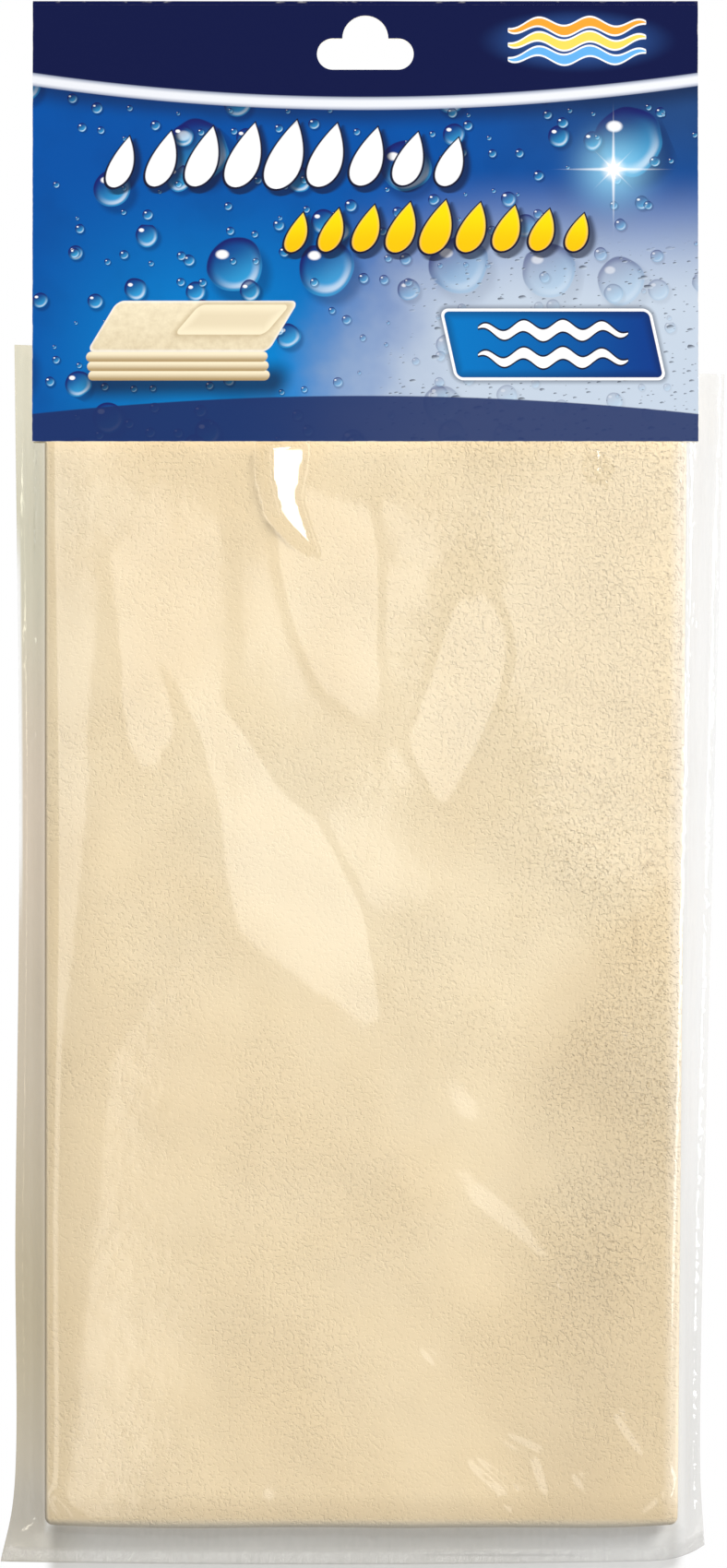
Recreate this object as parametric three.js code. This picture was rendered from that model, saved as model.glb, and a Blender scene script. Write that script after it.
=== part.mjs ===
// A folded chamois leather in its hanging pack: a clear bag, with a folded header card over its mouth.
// Millimetres. The pack hangs with its front towards -Y and +Z up, as on a peg. The origin is the crown
// of the hang slot, where the peg bears, midway between the card's two panels.
import * as THREE from "three";

const { clamp, lerp, smoothstep } = THREE.MathUtils;

// Header card: one board folded over at the top.
const cardWidth = 220;
const cardHeight = 146;
const cardBoard = 0.5;
const creaseInnerRadius = 0.6; // of the rounded fold along the top
const scoreGap = 0.3; // between the crease and each panel, at the score line

// Hang slot: a round-ended bar with a round hump over its middle.
const slotDrop = 4.9; // from the card's top edge to the hump's crown
const slotLength = 32;
const slotBarHeight = 10.4;
const slotHumpRadius = 7.6;

// Adhesive strips between the card and the bag.
const stripWidth = 190;
const stripHeight = 12;
const stripThickness = 0.2;
const stripGap = 0.3; // on either side of a strip
const stripMargin = 3; // below the lower corner of the bag's mouth

// The skin: folded in behind at both sides, then in half with its fold at the foot.
const skinThickness = 1;
const skinTuck = 15.1; // how far the folded skin reaches up behind the card
const skinFootDrop = 498.7; // from the slot's crown
const skinLeft = 106; // from the middle of the card to the left fold
const skinRightTop = 106.4;
const skinRightFoot = 103.3; // the right fold leans in towards the foot
const centreGap = 1.2; // between layers, where the soft stack is fullest
const edgeGap = 0.35; // between layers, where the side folds draw them together
const crownRun = 30; // from a side fold to where the stack is fullest
const flapWidth = 86; // of the skin folded in behind at each side
const flapNeck = 14; // how much narrower a flap is at the hide's two ends
const backLegShort = 6; // by how much the back leaf ends lower than the front one

// Bag: a flat tube of film, cut across at the mouth and welded across at the foot.
const filmWall = 0.15;
const filmParting = 0.3; // between the two films at the bag's edges
const fitGap = 0.3; // between the film and the skin, and between the bag's own pieces
const foldMargin = 2; // width of each folded side edge
const sideShoulder = 14; // from a side edge to where the film lies over the skin
const footShoulder = 14; // the same, up from the welded band
const weldHeight = 4.3;
const weldThickness = 0.5;
const mouthSlack = 1.1; // spare room under the card, so that the skin can shift up
const mouthRun = 45; // below the card, along which the films close on the skin

// Outline of the bag, from the middle of the card and down from the slot's crown.
const mouthLeft = 116.1;
const mouthRight = 118.9;
const mouthTuckLeft = 32.3; // how far the mouth's left corner reaches up past the card's foot
const mouthTuckRight = 22.5;
const waistLeft = 114;
const waistRight = 115;
const heelLeft = 116.4;
const heelRight = 110.8;
const heelRise = 28; // above the foot, where the welded band starts to spread the sides
const footLeft = 120.7;
const footRight = 112.2;
const footDropLeft = 511.5;
const footDropRight = 511;
const footSag = 1.2;
const cornerLift = 5; // the right foot corner curls up
const cornerRun = 22;
const waistShare = 0.4; // of the way down a side

// The fits that follow from those sizes.
const stackHalf = 2 * skinThickness + 1.5 * centreGap;
const bodyHalf = stackHalf + fitGap + filmWall;
const stripStack = stripGap + stripThickness + stripGap;
const cardFootHalf = bodyHalf + mouthSlack + stripStack;
const creaseOuterRadius = creaseInnerRadius + cardBoard;
const cardTopZ = slotDrop;
const cardFootZ = cardTopZ - cardHeight;
const creaseZ = cardTopZ - creaseOuterRadius;
const mouthZLeft = cardFootZ + mouthTuckLeft;
const mouthZRight = cardFootZ + mouthTuckRight;
const skinTopZ = cardFootZ + skinTuck;
const panelTilt = Math.atan((cardFootHalf - creaseInnerRadius) / (cardHeight - creaseOuterRadius));
const scoreY = creaseInnerRadius * Math.cos(panelTilt); // where a panel's inner face leaves the crease
const scoreZ = creaseZ + creaseInnerRadius * Math.sin(panelTilt);

const boardFace = new THREE.MeshStandardMaterial({ color: 0x0a5ca8, roughness: 0.35, metalness: 0 });
const boardBack = new THREE.MeshStandardMaterial({ color: 0x123a78, roughness: 0.4, metalness: 0 });
const adhesive = new THREE.MeshStandardMaterial({ color: 0xf2efe6, roughness: 0.6, metalness: 0 });
const skin = new THREE.MeshStandardMaterial({ color: 0xf2dfba, roughness: 0.95, metalness: 0 });
const film = new THREE.MeshStandardMaterial({
  color: 0xe9ecea,
  roughness: 0.12,
  metalness: 0,
  transparent: true,
  opacity: 0.3,
});

function piece(name, geometry, material) {
  const mesh = new THREE.Mesh(geometry, material);
  mesh.name = name;
  return mesh;
}

// Evenly spaced stations from one value to another, both included.
const stations = (from, to, steps) =>
  Array.from({ length: steps + 1 }, (_, i) => lerp(from, to, i / steps));

// A closed sheet: a grid of points on its outer face, one on its inner face, and rims that join them.
// Seen from outside, "across" runs to the right and "down" runs down.
function sheet(across, down, pointOn) {
  const columns = across.length;
  const rows = down.length;
  const layer = columns * rows;
  const positions = [0, 1].flatMap((side) =>
    down.flatMap((d) => across.flatMap((a) => pointOn(a, d, side).toArray())),
  );
  const index = [];
  const quad = (a, b, c, d) => index.push(a, b, c, a, c, d);
  const rim = (a, b) => quad(a, b, b + layer, a + layer);
  for (let row = 0; row + 1 < rows; row++) {
    for (let column = 0; column + 1 < columns; column++) {
      const here = row * columns + column;
      const below = here + columns;
      quad(here, below, below + 1, here + 1);
      quad(here + layer, here + 1 + layer, below + 1 + layer, below + layer);
    }
    rim((row + 1) * columns, row * columns);
    rim((row + 1) * columns - 1, (row + 2) * columns - 1);
  }
  for (let column = 0; column + 1 < columns; column++) {
    rim(column, column + 1);
    rim(layer - columns + column + 1, layer - columns + column);
  }
  const geometry = new THREE.BufferGeometry();
  geometry.setAttribute("position", new THREE.Float32BufferAttribute(positions, 3));
  geometry.setIndex(index);
  geometry.computeVertexNormals();
  return geometry;
}

// Header card

// The hang slot's outline, drawn about its crown, at the height crownZ.
function slotPath(crownZ) {
  const endRadius = slotBarHeight / 2;
  const barTop = crownZ - slotHumpRadius;
  const barMiddle = barTop - endRadius;
  const endX = slotLength / 2 - endRadius;
  const path = new THREE.Path();
  path.absarc(endX, barMiddle, endRadius, -Math.PI / 2, Math.PI / 2, false);
  path.absarc(0, barTop, slotHumpRadius, 0, Math.PI, false);
  path.absarc(-endX, barMiddle, endRadius, Math.PI / 2, (3 * Math.PI) / 2, false);
  path.closePath();
  return path;
}

// A panel in its own plane: its inner face at y = 0, hanging down from the score line at z = 0.
function panelGeometry() {
  const slope = Math.cos(panelTilt);
  const top = -scoreGap;
  const foot = -(scoreZ + cardBoard * Math.sin(panelTilt) - cardFootZ) / slope;
  const half = cardWidth / 2;
  const outline = new THREE.Shape();
  outline.moveTo(-half, foot).lineTo(half, foot).lineTo(half, top).lineTo(-half, top).closePath();
  outline.holes.push(slotPath(-scoreZ / slope));
  const geometry = new THREE.ExtrudeGeometry(outline, {
    depth: cardBoard,
    bevelEnabled: false,
    curveSegments: 10,
  });
  const right = new THREE.Vector3(1, 0, 0);
  const up = new THREE.Vector3(0, 0, 1);
  const front = new THREE.Vector3(0, -1, 0);
  return geometry.applyMatrix4(new THREE.Matrix4().makeBasis(right, up, front));
}

// One half of the card, leaning out from the crease, with its adhesive strip on its inner face.
function cardHalf(panelName, stripName, material) {
  const half = new THREE.Group();
  half.add(piece(panelName, panelGeometry(), material));
  const strip = piece(stripName, new THREE.BoxGeometry(stripWidth, stripThickness, stripHeight), adhesive);
  const stripZ = mouthZRight - stripMargin - stripHeight / 2;
  strip.position.set(0, stripGap + stripThickness / 2, (stripZ - scoreZ) / Math.cos(panelTilt));
  half.add(strip);
  half.position.set(0, -scoreY, scoreZ);
  half.rotation.x = -panelTilt;
  return new THREE.Group().add(half);
}

// The rounded crease along the top, from one score line over to the other.
function crease() {
  const profile = new THREE.Shape();
  profile.absarc(0, creaseZ, creaseOuterRadius, panelTilt, Math.PI - panelTilt, false);
  profile.absarc(0, creaseZ, creaseInnerRadius, Math.PI - panelTilt, panelTilt, true);
  profile.closePath();
  const geometry = new THREE.ExtrudeGeometry(profile, {
    depth: cardWidth,
    bevelEnabled: false,
    curveSegments: 10,
  });
  const right = new THREE.Vector3(1, 0, 0);
  const up = new THREE.Vector3(0, 0, 1);
  const back = new THREE.Vector3(0, 1, 0);
  geometry.translate(0, 0, -cardWidth / 2);
  return geometry.applyMatrix4(new THREE.Matrix4().makeBasis(back, up, right));
}

// Bag

// How far a panel's inner face is from the middle plane at the height z.
const panelHalf = (z) => scoreY + (scoreZ - z) * Math.tan(panelTilt);

// How far the film's outer face is from the middle plane at the height z, away from the bag's edges:
// it follows the card's panel, then closes on the skin.
function filmHalf(z) {
  const underPanel = (at) => panelHalf(at) - stripStack / Math.cos(panelTilt);
  if (z > cardFootZ) return underPanel(z);
  return lerp(underPanel(cardFootZ), bodyHalf, smoothstep(cardFootZ - z, 0, mouthRun));
}

const sideCurve = (mouthX, mouthZ, waistX, heelX, footX, footZ) =>
  new THREE.CatmullRomCurve3([
    new THREE.Vector3(mouthX, 0, mouthZ),
    new THREE.Vector3(waistX, 0, lerp(mouthZ, footZ, waistShare)),
    new THREE.Vector3(heelX, 0, footZ + heelRise),
    new THREE.Vector3(footX, 0, footZ),
  ]);
const leftSide = sideCurve(-mouthLeft, mouthZLeft, -waistLeft, -heelLeft, -footLeft, -footDropLeft);
const rightSide = sideCurve(mouthRight, mouthZRight, waistRight, heelRight, footRight, -footDropRight);
const sideLength = leftSide.getLength();
const bagWidth = mouthLeft + mouthRight;
const weldShare = 1 - weldHeight / sideLength; // how far down the welded band starts
const filmEndShare = weldShare - fitGap / sideLength;

// A point of the bag's flat outline: across from left to right, and down from mouth to foot, as shares.
function bagPoint(across, down) {
  const point = leftSide.getPointAt(down).lerp(rightSide.getPointAt(down), across);
  const nearFoot = smoothstep(down, weldShare - (4 * footShoulder) / sideLength, weldShare);
  const fromCorner = clamp(1 - ((1 - across) * bagWidth) / cornerRun, 0, 1);
  const sag = footSag * 4 * across * (1 - across);
  point.z += nearFoot * (cornerLift * fromCorner ** 3 - sag);
  return point;
}

// How full the film is at a point of the outline: 0 along the bag's edges and 1 over the skin.
function fullness(across, down) {
  const width = bagPoint(0, down).distanceTo(bagPoint(1, down));
  const side = Math.min(across, 1 - across) * width - foldMargin;
  const foot = (weldShare - down) * sideLength;
  const rise = (distance, shoulder) => Math.sin((Math.PI / 2) * clamp(distance / shoulder, 0, 1));
  return rise(side, sideShoulder - foldMargin) * rise(foot, footShoulder);
}

// Down the bag's walls: closer together under the card and over the foot's shoulder.
function downBag() {
  const mouth = stations(0, (3 * mouthRun) / 2 / sideLength, 6);
  const footShare = weldShare - footShoulder / sideLength;
  return [
    ...mouth,
    ...stations(mouth.at(-1), footShare, 6).slice(1),
    ...stations(footShare, filmEndShare, 5).slice(1),
  ];
}

// Across the bag's walls, between its side folds: closer together over the side shoulders.
function acrossBag() {
  const edgeShare = (foldMargin + fitGap) / bagWidth;
  const shoulderShare = sideShoulder / bagWidth;
  const rising = stations(edgeShare, shoulderShare, 5);
  return [
    ...rising,
    ...stations(shoulderShare, 1 - shoulderShare, 6).slice(1, -1),
    ...rising.map((share) => 1 - share).reverse(),
  ];
}

// One wall of the bag. "front" is -1 on the side that faces -Y, and 1 behind.
function filmGeometry(front) {
  const across = front > 0 ? acrossBag().reverse() : acrossBag();
  const edgeHalf = filmParting / 2 + filmWall;
  return sheet(across, downBag(), (a, d, side) => {
    const point = bagPoint(a, d);
    const outer = lerp(edgeHalf, filmHalf(point.z), fullness(a, d));
    point.y = front * (outer - side * filmWall);
    return point;
  });
}

// The film folded round a side of the bag: in along one wall, round the edge and back along the other.
function sideFoldGeometry(onRight) {
  const bend = filmParting / 2 + filmWall / 2; // of the middle of the film
  const turn = stations(-Math.PI / 2, Math.PI / 2, 4);
  const route = [
    { inset: foldMargin, angle: turn[0] },
    ...turn.map((angle) => ({ inset: bend, angle })),
    { inset: foldMargin, angle: turn.at(-1) },
  ];
  return sheet(onRight ? route : route.reverse(), downBag(), ({ inset, angle }, d, side) => {
    const radius = bend + (side ? -filmWall : filmWall) / 2;
    const reach = inset - radius * Math.cos(angle);
    const share = reach / bagWidth;
    const point = bagPoint(onRight ? 1 - share : share, d);
    point.y = radius * Math.sin(angle);
    return point;
  });
}

// The welded band across the foot, where both films are one.
function weldGeometry() {
  return sheet([0, ...acrossBag(), 1], stations(weldShare, 1, 2), (a, d, side) => {
    const point = bagPoint(a, d);
    point.y = (side - 0.5) * weldThickness;
    return point;
  });
}

// Skin

const skinFootZ = -skinFootDrop;
const foldRadius = (skinThickness + edgeGap) / 2; // of the skin's middle, round a side fold
const bendZ = skinFootZ + stackHalf; // the fold across the foot turns about this height

// The gap between layers at the distance x from the middle.
const layerGap = (x) => {
  const run = clamp((skinLeft - Math.abs(x)) / crownRun, 0, 1);
  return lerp(edgeGap, centreGap, Math.sin((Math.PI / 2) * run));
};

// Across the skin: flap, side fold, face, side fold and flap. Each station has its x, its share of the
// depth from the face to the flap, and the skin's outward direction there, as an angle from the front.
function acrossSkin() {
  const flat = skinLeft - skinThickness / 2 - foldRadius;
  const faceSide = stations(0, 1, 4).map((share) => ({ x: flat * share, turn: 0 }));
  const fold = stations(0, Math.PI, 6)
    .slice(1, -1)
    .map((turn) => ({ x: flat + foldRadius * Math.sin(turn), turn }));
  const flap = stations(0, 1, 3).map((share) => ({ x: flat, inward: share, turn: Math.PI }));
  const right = [...faceSide, ...fold, ...flap].map((station) => ({ ...station, sign: 1 }));
  const left = right.slice(1).map((station) => ({ ...station, sign: -1 }));
  return [...left.reverse(), ...right];
}

// Down the skin: the front leaf, the fold across the foot, and the back leaf.
function downSkin() {
  const front = stations(skinTopZ, bendZ, 6).map((z) => ({ z, turn: 0 }));
  const bend = stations(0, Math.PI, 8).slice(1, -1).map((turn) => ({ z: bendZ, turn }));
  const back = stations(bendZ, skinTopZ - backLegShort, 6).map((z) => ({ z, turn: Math.PI }));
  return [...front, ...bend, ...back];
}

function skinGeometry() {
  return sheet(acrossSkin(), downSkin(), (across, down, side) => {
    const height = (down.z - bendZ) / (skinTopZ - bendZ); // 0 at the foot and 1 at the top
    const flap = flapWidth - flapNeck * height ** 2;
    const middleX = across.x - flap * (across.inward ?? 0);
    const depth = (skinThickness + layerGap(middleX)) * ((1 - Math.cos(across.turn)) / 2);
    const offset = (side ? -skinThickness : skinThickness) / 2;
    const x = middleX + offset * Math.sin(across.turn);
    const inFromFace = depth - offset * Math.cos(across.turn);
    const fromMiddle = 1.5 * (skinThickness + layerGap(middleX)) - inFromFace;
    const right = lerp(skinRightFoot, skinRightTop, height);
    return new THREE.Vector3(
      across.sign < 0 ? -x : (x * right) / skinLeft,
      -fromMiddle * Math.cos(down.turn),
      down.z - fromMiddle * Math.sin(down.turn),
    );
  });
}

const header = new THREE.Group();
const backHalf = cardHalf("header_back_panel", "back_adhesive_strip", boardBack);
backHalf.rotation.z = Math.PI;
header.add(
  cardHalf("header_front_panel", "front_adhesive_strip", boardFace),
  backHalf,
  piece("header_crease", crease(), boardFace),
);

const bag = new THREE.Group();
bag.add(
  piece("bag_front_film", filmGeometry(-1), film),
  piece("bag_back_film", filmGeometry(1), film),
  piece("bag_left_side_fold", sideFoldGeometry(false), film),
  piece("bag_right_side_fold", sideFoldGeometry(true), film),
  piece("bag_foot_weld", weldGeometry(), film),
);

const pack = new THREE.Group();
pack.add(header, bag, piece("chamois_skin", skinGeometry(), skin));

export default pack;
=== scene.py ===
import math
from functools import partialmethod

import bpy
import numpy as np
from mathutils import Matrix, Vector


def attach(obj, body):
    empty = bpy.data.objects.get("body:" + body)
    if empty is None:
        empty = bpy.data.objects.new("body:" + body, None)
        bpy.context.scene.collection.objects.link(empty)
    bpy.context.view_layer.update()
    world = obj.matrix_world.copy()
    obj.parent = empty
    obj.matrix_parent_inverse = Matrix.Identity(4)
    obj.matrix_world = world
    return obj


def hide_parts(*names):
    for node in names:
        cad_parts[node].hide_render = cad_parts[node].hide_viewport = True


# A folded chamois leather in its clear hanging bag, with a folded header card over the bag's mouth.
# Sizes are in millimetres here and become metres in the meshes. Front is -Y, up is +Z.

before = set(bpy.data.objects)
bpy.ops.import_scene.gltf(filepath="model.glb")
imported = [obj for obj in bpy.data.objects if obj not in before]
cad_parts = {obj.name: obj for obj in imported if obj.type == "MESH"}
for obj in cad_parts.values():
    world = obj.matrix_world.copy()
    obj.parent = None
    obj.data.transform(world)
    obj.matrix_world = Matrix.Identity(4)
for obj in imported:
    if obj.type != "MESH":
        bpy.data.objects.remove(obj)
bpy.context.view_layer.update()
scene = bpy.context.scene
scene.view_settings.view_transform = "Standard"
mm = 0.001
white = (1, 1, 1, 1)
print("frame loaded")


# Camera and lamps

view = {
    "lens": 200,
    "sensor": 36,  # for the frame's long side
    "frameHeight": 518.2,
    "centre": (-0.6, -4, -254.2),
    "clip": (0.1, 30),  # metres
}

lamps = {
    # where each stands from the pack's middle in metres, its width and height, its radiance and colour
    "keyLamp": {"at": (3.4, -3.5, 3), "size": (1.95, 1.95), "radiance": 35, "colour": (1, 0.985, 0.96)},
    "rightStrip": {"at": (1.72, -2.45, 0.25), "size": (0.25, 1.3), "radiance": 13, "colour": (1, 1, 1)},
    "leftPanel": {"at": (-0.387, -2.9, 0), "size": (0.426, 2), "radiance": 1.9, "colour": (1, 0.99, 0.97)},
    "rightPanel": {"at": (0.315, -2.9, 0.515), "size": (0.37, 1.17), "radiance": 1.55, "colour": (1, 1, 1)},
    "backLamp": {"at": (-1.2, 2.6, 1.2), "size": (1.4, 1.4), "radiance": 14, "colour": (1, 1, 1)},
}


def newObject(name, data):
    made = bpy.data.objects.new(name, data)
    scene.collection.objects.link(made)
    return made


def addCamera():
    data = bpy.data.cameras.new("camera")
    data.lens, data.sensor_width = view["lens"], view["sensor"]
    data.clip_start, data.clip_end = view["clip"]
    away = view["frameHeight"] * view["lens"] / view["sensor"]
    x, y, z = view["centre"]
    camera = newObject("camera", data)
    camera.location = Vector((x, y - away, z)) * mm
    camera.rotation_euler = (math.radians(90), 0, 0)
    scene.camera = camera


def addLamp(name, at, size, radiance, colour):
    data = bpy.data.lights.new(name, "AREA")
    data.shape = "RECTANGLE"
    data.size, data.size_y = size
    data.energy = radiance * math.pi * size[0] * size[1]
    data.color = colour
    lamp = newObject(name, data)
    lamp.location = Vector(view["centre"]) * mm + Vector(at)
    lamp.rotation_euler = Vector(at).to_track_quat("Z", "Y").to_euler()
    lamp.visible_camera = False


addCamera()
for name, lamp in lamps.items():
    addLamp(name, **lamp)
print("camera and lamps placed")


# Node helpers

class Value:
    # A node's output. Arithmetic on it makes Math nodes.
    def __init__(self, tree, socket):
        self.tree, self.socket = tree, socket

    def out(self, name):
        # another output of the same node
        return Value(self.tree, self.socket.node.outputs[name])

    def math(self, operation, *others, clamp=False):
        sockets = dict(enumerate((self, *others)))
        return add(self.tree, "Math", sockets, operation=operation, use_clamp=clamp)

    def __rsub__(self, other):
        return self * -1 + other

    def clamped(self):
        return self.math("ADD", 0, clamp=True)

    __add__ = partialmethod(math, "ADD")
    __sub__ = partialmethod(math, "SUBTRACT")
    __mul__ = partialmethod(math, "MULTIPLY")
    __truediv__ = partialmethod(math, "DIVIDE")
    __pow__ = partialmethod(math, "POWER")
    atLeast = partialmethod(math, "MAXIMUM")
    atMost = partialmethod(math, "MINIMUM")
    size = partialmethod(math, "ABSOLUTE")


def feed(value, socket):
    # links a Value to a node's input, or gives the input a number, vector or colour
    if isinstance(value, Value):
        value.tree.links.new(value.socket, socket)
    else:
        socket.default_value = value


def add(tree, kind, sockets=None, **settings):
    # a new shader node with these inputs and settings, as the Value of its first output
    node = tree.nodes.new("ShaderNode" + kind)
    for name, value in settings.items():
        setattr(node, name, value)
    for name, value in (sockets or {}).items():
        feed(value, node.inputs[name])
    return Value(tree, node.outputs[0])


def stepped(value, low, high, outLow=0, outHigh=1):
    # a smooth step from outLow to outHigh while the value goes from low to high
    sockets = dict(enumerate((value, low, high, outLow, outHigh)))
    return add(value.tree, "MapRange", sockets, interpolation_type="SMOOTHSTEP")


def distance(across, up):
    return (across**2 + up**2) ** 0.5


def mixed(share, below, above):
    # this share of the colour above over the colour below
    tree = next(part.tree for part in (share, below, above) if isinstance(part, Value))
    return add(tree, "Mix", {0: share, 6: below, 7: above}, data_type="RGBA").out(2)


def blended(share, below, above):
    # the same for two shaders
    return add(share.tree, "MixShader", {0: share, 1: below, 2: above})


def rgb(*levels):
    # a colour as it shows on a screen, each level from 0 to 255
    return (*(c / 255 / 12.92 if c <= 10 else ((c / 255 + 0.055) / 1.055) ** 2.4 for c in levels), 1)


def noise(point, scale, detail=2, roughness=0.5, distortion=0):
    sizes = {"Scale": scale, "Detail": detail, "Roughness": roughness, "Distortion": distortion}
    return add(point.tree, "TexNoise", {"Vector": point, **sizes})


def bumped(height, distance, strength=1):
    return add(height.tree, "Bump", {"Height": height, "Distance": distance, "Strength": strength})


def upright(point, share):
    # the point with its height scaled, which draws a pattern out upwards
    return add(point.tree, "VectorMath", {0: point, 1: (1, 1, share)}, operation="MULTIPLY")


def parts(value, kind="XYZ"):
    # the three numbers of a vector or a colour
    node = add(value.tree, f"Separate{kind}", {0: value})
    return [node.out(index) for index in range(3)]


def surfacePoint(tree):
    # the place that is shaded: as a point in metres, and its x and z in millimetres
    point = add(tree, "TexCoord").out("Object")
    x, _, z = parts(point)
    return point, x / mm, z / mm


def cameraRay(tree):
    return add(tree, "LightPath").out("Is Camera Ray")


def arrange(tree):
    # sets each node left of what it feeds
    depth = {}

    def visit(node, level):
        if depth.get(node.name, -1) < level:
            depth[node.name] = level
            for socket in node.inputs:
                for link in socket.links:
                    visit(link.from_node, level + 1)

    for node in tree.nodes:
        if not any(socket.is_linked for socket in node.outputs):
            visit(node, 0)
    rows = {}
    for node in tree.nodes:
        level = depth.get(node.name, 0)
        rows[level] = rows.get(level, 0) + 1
        node.location = (-220 * level, -200 * rows[level])


def newGroup(name, inputs, build):
    # a shader node group: its inputs with their default numbers, None for a vector, and the function that
    # makes its outputs from them
    group = bpy.data.node_groups.new(name, "ShaderNodeTree")
    for label, default in inputs.items():
        kind = "NodeSocketVector" if default is None else "NodeSocketFloat"
        socket = group.interface.new_socket(label, in_out="INPUT", socket_type=kind)
        if default is not None:
            socket.default_value = default
    given = group.nodes.new("NodeGroupInput").outputs
    results = build({label: Value(group, given[label]) for label in inputs})
    for label in results:
        kind = "NodeSocketColor" if label == "Color" else "NodeSocketFloat"
        group.interface.new_socket(label, in_out="OUTPUT", socket_type=kind)
    end = group.nodes.new("NodeGroupOutput")
    for label, value in results.items():
        feed(value, end.inputs[label])
    arrange(group)
    return group


def begun(owner):
    # a material or world, with its tree emptied
    owner.use_nodes = True
    owner.node_tree.nodes.clear()
    return owner, owner.node_tree


def finished(owner, shader, kind="Material"):
    feed(shader, shader.tree.nodes.new(f"ShaderNodeOutput{kind}").inputs["Surface"])
    arrange(shader.tree)
    return owner


# Stage: a low white wall close behind the bag, which catches its shadow, and a pale floor

studio = {
    "worldLight": 0.2,
    "wallBehind": 7.2,
    "wallTop": -150,
    "wallHalf": 900,
    "wallColour": (0.82, 0.82, 0.82),
    "wallLift": 0.08,  # how much brighter than its light makes it the camera sees it
    "shadeTop": (-230, -150),  # the wall turns plain white between these heights
    "shadeSide": (102, 107),  # between these distances from the middle
    "shadeFoot": (-513, -521),  # and again below the bag
    "floorDrop": 600,
    "floorHalf": 2600,
    "floorColour": (0.86, 0.86, 0.85),
    "floorLift": 0.05,
}


def stagePlane(name, corners, material):
    mesh = bpy.data.meshes.new(name)
    mesh.from_pydata([tuple(Vector(corner) * mm) for corner in corners], [], [(0, 1, 2, 3)])
    mesh.materials.append(material)
    plane = newObject(name, mesh)
    plane.visible_diffuse = plane.visible_glossy = False
    return plane


def stagePaint(tree, colour, lift):
    diffuse = add(tree, "BsdfDiffuse", {"Color": (*colour, 1)})
    glow = add(tree, "Emission", {"Color": white, "Strength": cameraRay(tree) * lift})
    return add(tree, "AddShader", {0: diffuse, 1: glow})


def wallMaterial():
    # shaded close behind the pack, white further off and clear from behind
    material, tree = begun(bpy.data.materials.new("studioWallPaint"))
    _, x, z = surfacePoint(tree)
    away = stepped(x.size(), *studio["shadeSide"]).atLeast(stepped(z, *studio["shadeTop"]))
    away = away.atLeast(stepped(z, *studio["shadeFoot"]))
    paint = stagePaint(tree, studio["wallColour"], studio["wallLift"])
    plain = add(tree, "Emission", {"Color": white, "Strength": cameraRay(tree)})
    behind = add(tree, "NewGeometry").out("Backfacing")
    clear = add(tree, "BsdfTransparent")
    return finished(material, blended(behind, blended(away, paint, plain), clear))


def floorMaterial():
    material, tree = begun(bpy.data.materials.new("studioFloorPaint"))
    return finished(material, stagePaint(tree, studio["floorColour"], studio["floorLift"]))


def addStage():
    half, top, foot = studio["wallHalf"], studio["wallTop"], -studio["floorDrop"]
    y, far = studio["wallBehind"], studio["floorHalf"]
    corners = [(-half, y, foot), (half, y, foot), (half, y, top), (-half, y, top)]
    stagePlane("studioWall", corners, wallMaterial()).visible_shadow = False
    corners = [(-far, -far, foot), (far, -far, foot), (far, far, foot), (-far, far, foot)]
    stagePlane("studioFloor", corners, floorMaterial())


def addWorld():
    world, tree = begun(bpy.data.worlds.new("studio"))
    path = add(tree, "LightPath")
    seen = path.out("Is Camera Ray").atLeast(path.out("Is Glossy Ray"))
    seen = seen.atLeast(path.out("Is Transmission Ray"))
    dim, full = (
        add(tree, "Background", {"Color": white, "Strength": strength})
        for strength in (studio["worldLight"], 1)
    )
    scene.world = finished(world, blended(seen, dim, full), "World")


addStage()
addWorld()
print("stage built")


# Mesh helpers

def meshPiece(name, points, quads, material, body):
    # points in millimetres, one row each, and the four points of each face
    points = np.asarray(points, np.float32).reshape(-1, 3) * mm
    quads = np.asarray(quads, np.int32)
    mesh = bpy.data.meshes.new(name)
    mesh.vertices.add(len(points))
    mesh.vertices.foreach_set("co", points.ravel())
    mesh.loops.add(quads.size)
    mesh.loops.foreach_set("vertex_index", quads.ravel())
    mesh.polygons.add(len(quads))
    mesh.polygons.foreach_set("loop_start", np.arange(0, quads.size, 4, dtype=np.int32))
    mesh.update(calc_edges=True)
    mesh.validate()
    mesh.shade_smooth()
    mesh.materials.append(material)
    piece = newObject(name, mesh)
    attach(piece, body)
    return piece


def paintPoints(piece, name, values):
    # a number at each point of the mesh, which its material reads by name
    attribute = piece.data.attributes.new(name, "FLOAT", "POINT")
    attribute.data.foreach_set("value", np.asarray(values, np.float32).ravel())


def gridQuads(rows, columns, start=0, closed=False):
    # faces between neighbours in a grid of points, wrapping round where closed
    row = np.arange(rows - 1)[:, None] * columns + start
    here = np.arange(columns if closed else columns - 1)
    right = (here + 1) % columns
    corners = [row + here, row + columns + here, row + columns + right, row + right]
    return np.stack([c.ravel() for c in corners], axis=1)


def eased(value, low, high):
    share = np.clip((value - low) / (high - low), 0, 1)
    return share * share * (3 - 2 * share)


def waves(x, z, seed, lengths, count=7):
    # gentle random swells: sums of sine waves of these lengths
    random = np.random.default_rng(seed)
    total = np.zeros(np.broadcast(x, z).shape)
    for _ in range(count):
        angle, phase = random.uniform(0, 2 * np.pi, 2)
        length = random.uniform(*lengths)
        total += np.sin((x * np.cos(angle) + z * np.sin(angle)) * 2 * np.pi / length + phase)
    return total / count**0.5


# Header card sizes, and how its panels lean

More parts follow.
